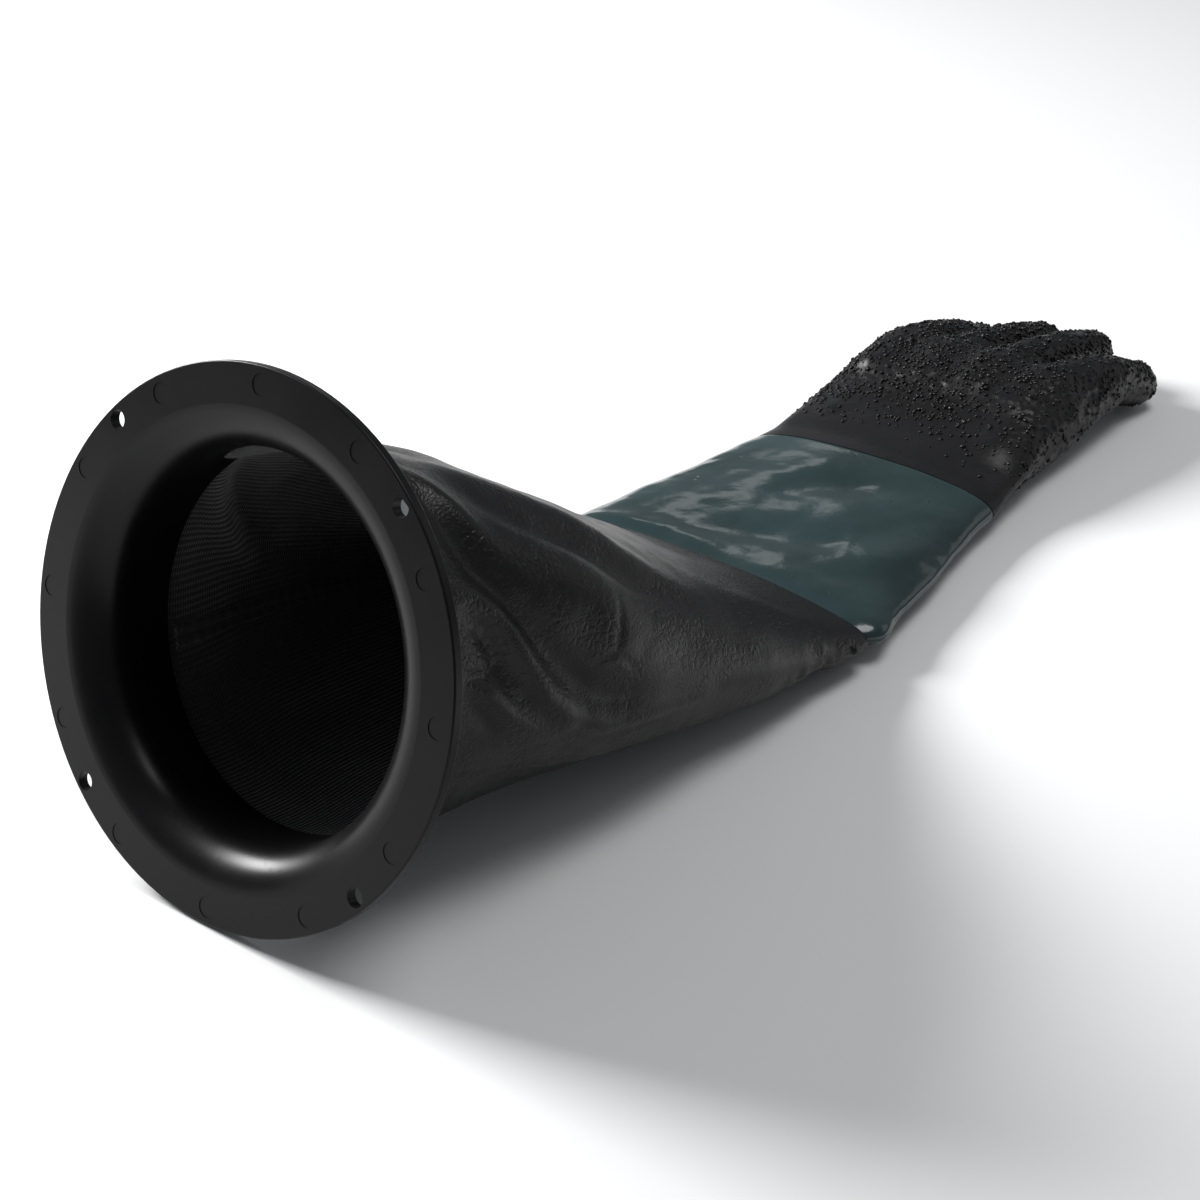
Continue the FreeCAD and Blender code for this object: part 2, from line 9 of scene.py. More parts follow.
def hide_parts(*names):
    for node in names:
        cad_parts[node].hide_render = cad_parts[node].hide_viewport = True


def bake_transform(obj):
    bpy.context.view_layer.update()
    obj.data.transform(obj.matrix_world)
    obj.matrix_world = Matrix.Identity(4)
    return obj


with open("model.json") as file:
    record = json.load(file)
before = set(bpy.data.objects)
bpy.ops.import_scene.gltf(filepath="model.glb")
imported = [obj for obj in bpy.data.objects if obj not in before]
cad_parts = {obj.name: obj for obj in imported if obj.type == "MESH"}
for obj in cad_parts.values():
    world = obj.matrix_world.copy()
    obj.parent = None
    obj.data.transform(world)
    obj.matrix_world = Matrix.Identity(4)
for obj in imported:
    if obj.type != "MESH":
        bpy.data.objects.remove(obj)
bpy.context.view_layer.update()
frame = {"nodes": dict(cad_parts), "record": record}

MM = 0.001

# ---------------------------------------------------------------------------------------------
# Frame: the port's own axis, read from the imported record, and the shapes of the soft parts
# ---------------------------------------------------------------------------------------------

MOUNTS = {mount["name"]: mount for mount in frame["record"]["mounts"]}
RING_THICKNESS = 5.0
INTO_GLOVE = -Vector(MOUNTS["bolt_circle"]["axis"])
PORT_CENTRE = Vector(MOUNTS["bolt_circle"]["pos_m"]) - INTO_GLOVE * RING_THICKNESS / 2 * MM
PORT_LEAN = math.degrees(math.asin(-INTO_GLOVE.z))
PORT_Y = PORT_CENTRE.y / MM


# Ribs of the soft tubes: along from the port, across, height, half width, half height, lean in degrees.
SLEEVE_RIBS = [
    (18.71, 0, 110.83, 89.6, 89.6, PORT_LEAN),
    (41.73, 0, 104.05, 89.6, 89.6, PORT_LEAN),
    (100, 0, 90, 97, 79, 14),
    (160, 0, 69, 103, 63, 12),
    (220, 0, 46, 105, 44, 10),
    (270, 0, 29, 102, 28, 8),
    (295, 0.6, 21.6, 100.4, 21, 5),
    (320, 2.4, 15.4, 99.4, 15, 3),
]
GAUNTLET_RIBS = [
    (300, 0, 17.5, 92.5, 12, 0),
    (318, 2.4, 15.3, 95.6, 13.1, 0),
    (332, 6.4, 14.8, 99.4, 14.0, 0),
    (350, 4.2, 14.5, 96.2, 14.0, 0),
    (375, 3.4, 14.4, 92.5, 13.8, 0),
    (405, 2.9, 14.3, 88.6, 13.7, 0),
    (430, 1.8, 14.3, 83.8, 13.6, 0),
    (466, 0, 14.3, 78.3, 13.6, 0),
    (484, 0, 14.6, 76.5, 13.9, 0),
    (500, -1.0, 17.0, 74.6, 14.2, 0),
]
HAND_RIBS = [
    (466, 0, 14.3, 78.3, 13.6, 0),
    (484, 0, 14.6, 76.5, 13.9, 0),
    (500, -1.0, 17.0, 74.8, 14.4, 0),
    (530, -2.2, 22.6, 72.6, 16, 0),
    (560, -5.5, 29.6, 68.2, 18, 0),
    (585, -6, 33.4, 68, 18.5, 0),
    (598, -6, 35.0, 66, 14.0, 0),
    (608, -6, 35.0, 60, 8.0, 0),
]
# Finger centre lines: along, across, height, radius.
FINGERS = {
    "index_finger": [
        (560, -52, 34, 13), (598, -54, 35.8, 14), (622, -54, 31.5, 14),
        (646, -53, 24.5, 13.6), (672, -52, 14.6, 12.8),
    ],
    "middle_finger": [
        (560, -21, 34.5, 13), (598, -22, 36.5, 14), (628, -22, 33, 14),
        (658, -21, 26.8, 13.8), (690, -20, 18.5, 13),
    ],
    "ring_finger": [
        (560, 9, 36, 13), (598, 10, 38.5, 14), (628, 11, 35.5, 14),
        (660, 12.5, 30, 13.8), (692, 14, 22.0, 13),
    ],
    "little_finger": [
        (560, 38, 33, 13), (598, 42.5, 37.5, 14), (622, 46.5, 35.5, 14),
        (647, 50, 29.5, 13.6), (680, 51.5, 15.6, 12.8),
    ],
    "thumb": [
        (512, -52, 20, 11), (540, -68, 14.5, 11.6), (566, -76.5, 11.9, 11.2),
        (592, -80.5, 11.7, 11.2), (620, -84, 11.5, 10.8),
    ],
}
# The slack skin that hangs from the little finger to the bench.
LITTLE_FINGER_DRAPE = [
    (525, 50, 18, 15), (556, 49.5, 20.5, 17.5), (586, 50, 23.5, 17),
    (612, 52, 26.5, 14), (636, 52, 25, 12.5),
]
# Where the black dip starts on the middle line, how askew its edge runs, and where the green coat
# ends under it.
WRIST_EDGE = 476.5
WRIST_SKEW = 0.045
GAUNTLET_END = 493.0


# ---------------------------------------------------------------------------------------------
# Curves, grids and meshes
# ---------------------------------------------------------------------------------------------


def ease(value, low, high):
    """Smooth step from 0 at low to 1 at high."""
    share = np.clip((value - low) / (high - low), 0, 1)
    return share * share * (3 - 2 * share)


def smooth_through(where, knots, values):
    """Monotone cubic through given values, so that a tube never swells between its ribs."""
    knots = np.asarray(knots, float)
    values = np.asarray(values, float)
    step = np.diff(knots)
    slope = np.diff(values) / step
    tangent = np.zeros(len(knots))
    product = slope[:-1] * slope[1:]
    tangent[1:-1] = np.where(product > 0, 2 * slope[:-1] * slope[1:] / (slope[:-1] + slope[1:] + 1e-12), 0)
    tangent[0] = slope[0]
    tangent[-1] = slope[-1]
    index = np.clip(np.searchsorted(knots, where) - 1, 0, len(step) - 1)
    share = (where - knots[index]) / step[index]
    share = np.clip(share, 0, 1)
    ahead = share * share * (3 - 2 * share)
    rise = share * (1 - share) ** 2
    fall = share * share * (share - 1)
    start = values[index] * (1 - ahead) + tangent[index] * rise * step[index]
    return start + values[index + 1] * ahead + tangent[index + 1] * fall * step[index]


def rib_at(ribs, along):
    """The interpolated rib at each distance along: across, height, half width, half height, lean."""
    table = np.asarray(ribs, float)
    return [smooth_through(along, table[:, 0], table[:, column]) for column in range(1, 6)]


def tube_grid(ribs, along, around, squareness=2.0):
    """Points of a tube's skin in millimetres, one row per distance along and one column per angle."""
    across, height, half_width, half_height, lean = (item[:, None] for item in rib_at(ribs, along))
    angle = np.radians(around)[None, :]
    power = 2 / squareness
    side = np.sign(np.cos(angle)) * np.abs(np.cos(angle)) ** power * half_width
    rise = np.sign(np.sin(angle)) * np.abs(np.sin(angle)) ** power * half_height
    lean = np.radians(lean)
    points = np.empty(side.shape + (3,))
    points[..., 0] = across + side
    points[..., 1] = along[:, None] + rise * np.sin(lean)
    points[..., 2] = height + rise * np.cos(lean)
    return points


def grid_normals(points):
    """Outward normals of a closed tube grid."""
    along = np.gradient(points, axis=0)
    around = np.roll(points, -1, axis=1) - np.roll(points, 1, axis=1)
    normal = np.cross(along, around)
    normal /= np.linalg.norm(normal, axis=-1, keepdims=True) + 1e-9
    return normal


def to_row(points):
    """Millimetres along from the port to metres in the row frame."""
    placed = np.array(points, float).reshape(-1, 3)
    placed[:, 1] += PORT_Y
    return placed * MM


def new_mesh(name, points, faces, weave=None):
    """A smooth-shaded mesh object from points in millimetres, with a weave map where one is given."""
    mesh = bpy.data.meshes.new(name)
    mesh.from_pydata(to_row(points).tolist(), [], faces)
    mesh.shade_smooth()
    if weave is not None:
        layer = mesh.uv_layers.new(name="weave")
        corners = np.empty(len(mesh.loops), int)
        mesh.loops.foreach_get("vertex_index", corners)
        layer.data.foreach_set("uv", np.asarray(weave, float).reshape(-1, 2)[corners].ravel())
    mesh.validate()
    piece = bpy.data.objects.new(name, mesh)
    bpy.context.scene.collection.objects.link(piece)
    return piece


def ring_faces(rows, columns, start=0, flip=False):
    """Quads between neighbouring rows of a closed tube grid."""
    faces = []
    for row in range(rows - 1):
        for column in range(columns):
            beside = (column + 1) % columns
            here, ahead = start + row * columns, start + (row + 1) * columns
            quad = [here + column, here + beside, ahead + beside, ahead + column]
            faces.append(quad if flip else quad[::-1])
    return faces


def end_caps(rows, columns, start=0, flip=False):
    """The two faces that close the ends of a tube grid."""
    first = list(range(start, start + columns))
    last = [corner + (rows - 1) * columns for corner in first]
    return [first, last[::-1]] if flip else [first[::-1], last]


def grid_weave(points):
    """Millimetres around and along the tube at each grid point."""
    steps = np.linalg.norm(points - np.roll(points, 1, axis=1), axis=-1)
    steps[:, 0] = 0
    weave = np.empty(points.shape[:2] + (2,))
    weave[..., 0] = np.cumsum(steps, axis=1).mean(axis=0)[None, :]
    weave[..., 1] = points[..., 1].mean(axis=1)[:, None]
    return weave


# Radius of a hem's roll, in thicknesses of its cloth.
HEM_ROLL = 1.35


def cloth_tube(name, points, normals, thickness, turn_under=0.0):
    """A closed fabric tube: an outer and an inner skin joined at both ends.

    With turn_under, the far end rolls inwards and runs back inside by that much, as a hem does.
    """
    rows, columns = points.shape[:2]
    rings = [points]
    inner = points[::-1] - normals[::-1] * thickness
    if turn_under:
        end = points[-1]
        ahead = points[-1] - points[-2]
        ahead /= np.linalg.norm(ahead, axis=-1, keepdims=True)
        inward = -normals[-1]
        roll = thickness * HEM_ROLL
        for degrees in (30, 60, 90, 120, 150, 180):
            turn = math.radians(degrees)
            ring = end + ahead * roll * math.sin(turn) + inward * roll * (1 - math.cos(turn))
            rings.append(ring[None])
        for share in (0.35, 0.7, 1.0):
            rings.append((end - ahead * turn_under * share + inward * roll * (2 - 0.5 * share))[None])
        back = np.argmax(points[:, 0, 1] > points[-1, 0, 1] - turn_under)
        inner = inner[rows - back:]
    closed = np.concatenate([*rings, inner])
    count = len(closed)
    faces = ring_faces(count, columns)
    last = (count - 1) * columns
    for column in range(columns):
        beside = (column + 1) % columns
        faces.append([column, beside, last + beside, last + column])
    return new_mesh(name, closed, faces, grid_weave(closed))


def noise_field(points, scale, seed, octaves=3):
    """Smooth noise at each point, about -1 to 1, with features about scale millimetres wide."""
    offset = Vector((seed * 17.3, seed * 5.1, seed * 9.7))
    flat = points.reshape(-1, 3) / scale
    basis = "PERLIN_ORIGINAL"
    values = [noise.fractal(Vector(point) + offset, 1.0, 2.0, octaves, noise_basis=basis) for point in flat]
    return np.array(values).reshape(points.shape[:-1])


def distance_to_path(points, path):
    """Distance from each point to a polyline, and the share of its length at the nearest place."""
    flat = points.reshape(-1, 3)
    path = np.asarray(path, float)
    lengths = np.linalg.norm(np.diff(path, axis=0), axis=1)
    total = lengths.sum()
    best = np.full(len(flat), 1e9)
    share = np.zeros(len(flat))
    travelled = 0.0
    for start, end, length in zip(path[:-1], path[1:], lengths):
        line = (end - start) / length
        ahead = np.clip((flat - start) @ line, 0, length)
        gap = np.linalg.norm(flat - start - ahead[:, None] * line, axis=1)
        nearer = gap < best
        best = np.where(nearer, gap, best)
        share = np.where(nearer, (travelled + ahead) / total, share)
        travelled += length
    return best.reshape(points.shape[:-1]), share.reshape(points.shape[:-1])


def fine_path(path, steps=6):
    """The same path with straight steps between its points, so that it hugs the skin."""
    points = []
    for (angle, along), (next_angle, next_along) in zip(path[:-1], path[1:]):
        for step in range(steps):
            share = step / steps
            points.append((angle + (next_angle - angle) * share, along + (next_along - along) * share))
    return points + [path[-1]]


def laid_path(ribs, path, squareness=2.0):
    """A path of (degrees, along) laid on a tube's plain skin."""
    fine = fine_path(path)
    around = np.array([angle for angle, along in fine], float)
    along = np.array([along for angle, along in fine], float)
    grid = tube_grid(ribs, along, around, squareness)
    return np.array([grid[index, index] for index in range(len(fine))])


# A fold's height follows half a sine along its path, entered this share late and left this share
# early, and flattened by the power.
FADE_MARGIN = 0.07
FADE_POWER = 0.6


def fold_lift(grid, line, width, height):
    """How far one fold lifts each point of the skin, dying away sideways and at its two ends."""
    gap, share = distance_to_path(grid, line)
    inside = np.clip(share * (1 - 2 * FADE_MARGIN) + FADE_MARGIN, 0, 1)
    fade = np.sin(np.pi * inside) ** FADE_POWER
    return height * fade * np.exp(-((gap / width) ** 2))


# ---------------------------------------------------------------------------------------------
# Materials
# ---------------------------------------------------------------------------------------------


def linear(hex_colour):
    """An sRGB hex colour as linear RGBA."""
    channels = [int(hex_colour[place:place + 2], 16) / 255 for place in (1, 3, 5)]
    return [c / 12.92 if c <= 0.04045 else ((c + 0.055) / 1.055) ** 2.4 for c in channels] + [1.0]


def add(tree, kind, links=None, **settings):
    """Add one node, set its properties and its inputs, and link inputs given as sockets."""
    item = tree.nodes.new(kind)
    for key, value in settings.items():
        setattr(item, key, value)
    for key, value in (links or {}).items():
        if isinstance(value, bpy.types.NodeSocket):
            tree.links.new(value, item.inputs[key])
        else:
            item.inputs[key].default_value = value
    return item


def new_material(name, colour, **shader):
    """A material with one Principled shader, its own values set on its own sockets."""
    material = bpy.data.materials.new(name)
    material.use_nodes = True
    tree = material.node_tree
    surface = tree.nodes["Principled BSDF"]
    surface.inputs["Base Color"].default_value = linear(colour)
    for key, value in shader.items():
        surface.inputs[key.replace("_", " ").title().replace("Ior", "IOR")].default_value = value
    return material, tree, surface


def ramp(tree, factor, stops):
    """A colour ramp from (position, hex colour) stops."""
    item = add(tree, "ShaderNodeValToRGB", {"Fac": factor})
    while len(item.color_ramp.elements) < len(stops):
        item.color_ramp.elements.new(0.5)
    for element, (position, colour) in zip(item.color_ramp.elements, stops):
        element.position = position
        element.color = linear(colour)
    return item.outputs["Color"]


def mapped(tree, factor, low, high):
    """A value from 0 to 1 spread between low and high."""
    return add(tree, "ShaderNodeMapRange", {"Value": factor, "To Min": low, "To Max": high}).outputs["Result"]


def per_metre(size_mm):
    """Texture scale whose features are about size_mm across, for coordinates in metres."""
    return 1 / (size_mm * MM)


def noise_at(tree, place, size_mm, detail, output="Fac", **inputs):
    """Cloudy noise with features about size_mm across."""
    links = {"Vector": place, "Scale": per_metre(size_mm), "Detail": detail, **inputs}
    return add(tree, "ShaderNodeTexNoise", links).outputs[output]


def cells_at(tree, place, size_mm, feature="F1"):
    """Distances in a pattern of cells about size_mm across."""
    links = {"Vector": place, "Scale": per_metre(size_mm)}
    return add(tree, "ShaderNodeTexVoronoi", links, feature=feature).outputs["Distance"]


def bumped(tree, surface, layers):
    """Stack bumps of (height socket, depth in millimetres) on the shader's normal."""
    normal = None
    for height, depth in layers:
        links = {"Height": height, "Distance": depth * MM, "Strength": 1.0}
        if normal:
            links["Normal"] = normal
        normal = add(tree, "ShaderNodeBump", links).outputs["Normal"]
    tree.links.new(normal, surface.inputs["Normal"])


def moulded_black_abs():
    """ABS off a polished mould: satin black, with faint flow marks and handling scratches."""
    material, tree, surface = new_material(
        "moulded_black_abs", "#09090a", roughness=0.3, specular_ior_level=0.19
    )
    place = add(tree, "ShaderNodeTexCoord").outputs["Object"]
    cloud = noise_at(tree, place, 45, 4.0)
    turn = {"Vector": place, "Scale": (1, 0.06, 1), "Rotation": (0.4, 0.3, 0.8)}
    stretched = add(tree, "ShaderNodeMapping", turn).outputs["Vector"]
    scratch = noise_at(tree, stretched, 1.6, 2.0)
    fine = noise_at(tree, place, 0.8, 2.0)
    lines = ramp(tree, scratch, [(0.0, "#000000"), (0.66, "#000000"), (0.72, "#ffffff"), (1.0, "#ffffff")])
    blend = add(tree, "ShaderNodeMath", {0: cloud, 1: lines}, operation="MULTIPLY")
    worn = add(tree, "ShaderNodeMath", {0: cloud, 1: blend.outputs[0]}, operation="ADD").outputs[0]
    tree.links.new(mapped(tree, worn, 0.22, 0.42), surface.inputs["Roughness"])
    tree.links.new(ramp(tree, cloud, [(0.3, "#070708"), (0.7, "#0b0b0d")]), surface.inputs["Base Color"])
    bumped(tree, surface, [(fine, 0.015), (lines, 0.01)])
    return material


def black_leatherette():
    """PU-coated cloth, embossed with a fine pebble grain: soft sheen that breaks up at each crease."""
    material, tree, surface = new_material(
        "black_leatherette", "#09090a", roughness=0.42, specular_ior_level=0.33
    )
    place = add(tree, "ShaderNodeTexCoord").outputs["Object"]
    warp = noise_at(tree, place, 6, 3.0, "Color")
    bent = add(tree, "ShaderNodeMix", {"Factor": 0.003, 6: place, 7: warp}, data_type="RGBA").outputs[2]
    pebble = cells_at(tree, bent, 1.9, "DISTANCE_TO_EDGE")
    grain = ramp(tree, pebble, [(0.0, "#000000"), (0.25, "#c8c8c8"), (0.6, "#ffffff")])
    crack = cells_at(tree, bent, 4.2, "DISTANCE_TO_EDGE")
    where = noise_at(tree, place, 26, 3.0)
    line = ramp(tree, crack, [(0.0, "#000000"), (0.2, "#e8e8e8"), (0.5, "#ffffff")])
    worked = ramp(tree, where, [(0.42, "#ffffff"), (0.58, "#000000")])
    creases = add(tree, "ShaderNodeMath", {0: line, 1: worked}, operation="MAXIMUM").outputs[0]
    soft = noise_at(tree, bent, 8, 5.0, Roughness=0.6)
    cloud = noise_at(tree, place, 60, 3.0)
    tree.links.new(ramp(tree, cloud, [(0.3, "#070708"), (0.7, "#0c0c0d")]), surface.inputs["Base Color"])
    tree.links.new(mapped(tree, soft, 0.28, 0.46), surface.inputs["Roughness"])
    bumped(tree, surface, [(soft, 0.26), (creases, 0.2), (grain, 0.12)])
    return material


# How often a wave texture of scale 1 repeats in one unit of its coordinates.
WAVES_PER_UNIT = 3.18


def black_rib_knit():
    """Polyester knit backing: fine wales run along the sleeve, matt and a little fuzzy."""
    material, tree, surface = new_material("black_rib_knit", "#0c0c0d", roughness=0.85, sheen_weight=0.3)
    weave = add(tree, "ShaderNodeUVMap", uv_map="weave").outputs["UV"]
    # the wales are 0.9 mm apart on the real knit, drawn 2.2 mm apart so that they show
    waves = []
    for spacing, distortion, direction in ((2.2, 0.3, "X"), (1.6, 0.6, "Y")):
        links = {"Vector": weave, "Scale": 1 / spacing / WAVES_PER_UNIT, "Distortion": distortion}
        waves.append(add(tree, "ShaderNodeTexWave", links, bands_direction=direction).outputs["Fac"])
    wale, course = waves
    tree.links.new(ramp(tree, wale, [(0.0, "#040404"), (1.0, "#0f0f10")]), surface.inputs["Base Color"])
    bumped(tree, surface, [(wale, 0.5), (course, 0.12)])
    return material


def green_dipped_pvc():
    """PVC dipped over cotton: wet-looking bottle green, with pinhead pimples and soft ripples."""
    material, tree, surface = new_material("green_dipped_pvc", "#17302f", roughness=0.14)
    place = add(tree, "ShaderNodeTexCoord").outputs["Object"]
    ripple = noise_at(tree, place, 22, 3.0)
    orange_peel = noise_at(tree, place, 3.0, 3.0)
    dots = cells_at(tree, place, 9)
    pimple = ramp(tree, dots, [(0.0, "#ffffff"), (0.09, "#000000"), (1.0, "#000000")])
    cloud = noise_at(tree, place, 50, 4.0)
    tree.links.new(ramp(tree, cloud, [(0.3, "#1b2a2b"), (0.7, "#27383a")]), surface.inputs["Base Color"])
    tree.links.new(mapped(tree, cloud, 0.08, 0.2), surface.inputs["Roughness"])
    bumped(tree, surface, [(ripple, 0.26), (orange_peel, 0.06), (pimple, 0.3)])
    return material


def gritted_black_pvc():
    """PVC dipped with crumbled grit in it: black lumps standing in a satin black skin."""
    material, tree, surface = new_material(
        "gritted_black_pvc", "#0a0a0b", roughness=0.4, specular_ior_level=0.3
    )
    place = add(tree, "ShaderNodeTexCoord").outputs["Object"]
    lump = cells_at(tree, place, 3.2, "SMOOTH_F1")
    fine = noise_at(tree, place, 2.0, 4.0)
    cloud = noise_at(tree, place, 35, 3.0)
    tree.links.new(mapped(tree, cloud, 0.34, 0.44), surface.inputs["Roughness"])
    tree.links.new(ramp(tree, cloud, [(0.3, "#09090a"), (0.7, "#111113")]), surface.inputs["Base Color"])
    bumped(tree, surface, [(lump, 0.1), (fine, 0.07)])
    return material


def cotton_interlock():
    """Undyed cotton interlock knit, worn as the glove's liner."""
    material, tree, surface = new_material("cotton_interlock", "#cfc8b8", roughness=0.9, sheen_weight=0.3)
    place = add(tree, "ShaderNodeTexCoord").outputs["Object"]
    loops = cells_at(tree, place, 1.4)
    tree.links.new(ramp(tree, loops, [(0.0, "#d8d2c4"), (1.0, "#a9a294")]), surface.inputs["Base Color"])
    bumped(tree, surface, [(loops, 0.3)])
    return material


def brushed_clamp_steel():
    """Stainless band, brushed along its length: streaky grey highlights."""
    material, tree, surface = new_material("brushed_clamp_steel", "#b4b6b8", roughness=0.35, metallic=1.0)
    place = add(tree, "ShaderNodeTexCoord").outputs["Object"]
    streak = add(tree, "ShaderNodeMapping", {"Vector": place, "Scale": (0.08, 1, 0.08)}).outputs["Vector"]
    brush = noise_at(tree, streak, 0.7, 3.0)
    tree.links.new(mapped(tree, brush, 0.25, 0.5), surface.inputs["Roughness"])
    bumped(tree, surface, [(brush, 0.02)])
    return material


def black_twill_tape():
    """Woven binding over the seam allowance: diagonal ribs, matt black."""
    material, tree, surface = new_material("black_twill_tape", "#121214", roughness=0.75, sheen_weight=0.2)
    place = add(tree, "ShaderNodeTexCoord").outputs["Object"]
    turned = add(tree, "ShaderNodeMapping", {"Vector": place, "Rotation": (0.0, 0.0, 0.8)}).outputs["Vector"]
    links = {"Vector": turned, "Scale": per_metre(1.2) / WAVES_PER_UNIT}
    rib = add(tree, "ShaderNodeTexWave", links).outputs["Fac"]
    tree.links.new(ramp(tree, rib, [(0.0, "#0a0a0b"), (1.0, "#1c1c1e")]), surface.inputs["Base Color"])
    bumped(tree, surface, [(rib, 0.2)])
    return material


def pale_bench():
    """Matt white studio floor."""
    return new_material("pale_bench", "#e8e8e8", roughness=0.9)[0]


ABS = moulded_black_abs()
LEATHERETTE = black_leatherette()
KNIT = black_rib_knit()
GREEN_PVC = green_dipped_pvc()
GRITTED_PVC = gritted_black_pvc()
COTTON = cotton_interlock()
CLAMP_STEEL = brushed_clamp_steel()
SEAM_TAPE = black_twill_tape()


def finish_with(piece, material):
    """Give a piece its material."""
    piece.data.materials.clear()
    piece.data.materials.append(material)


def row_point(along, across=0.0, height=0.0):
    """A point along from the port, in metres in the row frame."""
    return (across * MM, (PORT_Y + along) * MM, height * MM)


# ---------------------------------------------------------------------------------------------
# Sleeve
# ---------------------------------------------------------------------------------------------

SLEEVE_START = 19.5
SLEEVE_END = 319.0
LEATHER_THICKNESS = 1.2
KNIT_THICKNESS = 0.7
FLOOR_CLEARANCE = 0.4

# Folds in the sleeve: path as (degrees round from the right-hand side, along), half width, height.
SLEEVE_FOLDS = [
    (
        "arch",
        [
            (31, 38), (28, 49), (24, 61), (18, 69), (10, 76),
            (0, 87), (-9, 103), (-14, 125), (-13, 150), (-10, 185),
        ],
        8,
        5.0,
    ),
    (
        "dark_band",
        [(56, 45), (46, 50), (37, 56), (29, 66), (21, 76), (12, 86), (3, 98), (-5, 112), (-7, 132)],
        9,
        -5.0,
    ),
    ("left_ridge", [(68, 48), (59, 53), (50, 60), (42, 67)], 6, 2.6),
    ("plateau", [(46, 88), (37, 102), (30, 118), (20, 130), (12, 142)], 18, 4.6),
    ("upper_ridge", [(73, 82), (65, 108), (60, 130), (55, 148), (49, 162), (42, 186)], 9, 3.0),
    ("upper_valley", [(63, 72), (57, 83), (51, 102), (47, 122), (42, 137), (37, 158), (33, 184)], 8, -3.4),
    ("hollow", [(24, 46), (17, 56), (9, 65), (2, 73)], 7, -4.4),
    ("pinch", [(9, 38), (8, 46), (7, 52), (9, 59)], 3.0, -2.8),
    ("pinch_foot", [(4, 39), (-1, 50), (-7, 60)], 4.2, -2.2),
    ("lobe", [(6, 46), (-1, 61), (-9, 77), (-16, 96)], 6, 4.2),
    ("long_crease", [(30, 132), (21, 128), (11, 124), (7, 112)], 1.7, -0.8),
    ("short_crease", [(11, 124), (5, 137)], 1.7, -0.7),
    ("top_plane", [(100, 46), (92, 80), (86, 130), (84, 190)], 36, -6.5),
    ("crown_dip", [(126, 24), (119, 50), (106, 86)], 20, -6.0),
    ("under_swell", [(-34, 44), (-36, 100), (-36, 160), (-30, 220), (-20, 270), (-10, 312)], 24, 2.8),
    ("side_keel", [(-27, 90), (-30, 130), (-30, 165), (-26, 210), (-16, 250), (-6, 290)], 7, 1.7),
    ("hem_corner", [(-30, 285), (-16, 300), (-4, 312), (4, 319)], 12, 2.4),
    ("far_ridge", [(138, 56), (150, 70), (163, 86), (178, 112), (188, 150)], 9, 4.0),
    ("far_valley", [(140, 44), (160, 62), (180, 92)], 8, -4.0),
    ("far_shoulder", [(125, 90), (130, 125), (136, 165)], 11, 2.0),
    ("far_dent", [(150, 120), (158, 160), (165, 200)], 12, -3.5),
    ("hem_fold", [(110, 235), (101, 265), (96, 295)], 8, 1.3),
    ("hem_fold_right", [(48, 220), (40, 252), (30, 290)], 9, 1.2),
    ("belly_left", [(230, 50), (238, 100), (240, 160)], 14, -2.5),
]
SEAM_LINE = [
    (-20, 36), (-24, 70), (-27, 101), (-30, 142), (-30, 175), (-25, 215), (-15, 255), (-6, 290), (0, 318),
]
FAR_SEAM_LINE = [(198, 36), (200, 100), (200, 160), (194, 215), (186, 270), (180, 318)]
# Where the seam allowances start and end inside the sleeve.
SEAM_SPAN = (45.5, 296)


def wrinkled_sleeve(along, around):
    """The sleeve's outer skin: a round mouth that collapses to a flat hem, with its folds."""
    grid = tube_grid(SLEEVE_RIBS, along, around)
    normals = grid_normals(grid)
    # dips begin only past the flange's spigot, so that the cloth never cuts into it
    free = ease(grid[..., 1], 41, 51)
    push = np.zeros(grid.shape[:2])
    for _, path, width, height in SLEEVE_FOLDS:
        push += fold_lift(grid, laid_path(SLEEVE_RIBS, path), width, height)
    held = ease(SLEEVE_END - grid[..., 1], 0, 40)
    soft = noise_field(grid, 60, 3, 2) * 1.6 + noise_field(grid, 24, 5, 2) * 0.45
    push += soft * (0.25 + 0.75 * held)
    # the seams pucker towards the hem, but not at its very edge
    pucker = noise_field(grid * np.array([0.3, 1, 1]), 12, 11, 2) * ease(grid[..., 1], 225, 285) * held
    for line, weight in ((SEAM_LINE, 1.0), (FAR_SEAM_LINE, 0.8)):
        gap, _ = distance_to_path(grid, laid_path(SLEEVE_RIBS, line))
        push += weight * (0.9 * np.exp(-((gap / 1.3) ** 2)) + 3.0 * pucker * np.exp(-((gap / 7) ** 2)))
    below = ease(-np.sin(np.radians(around))[None, :] * np.ones_like(push), 0.45, 0.6)
    push = np.where(push > 0, push * ease(grid[..., 1], 34, 48), push * free) * (1 - 0.3 * below)
    grid = grid + normals * push[..., None]
    grid[..., 2] = np.maximum(grid[..., 2], FLOOR_CLEARANCE)
    return grid


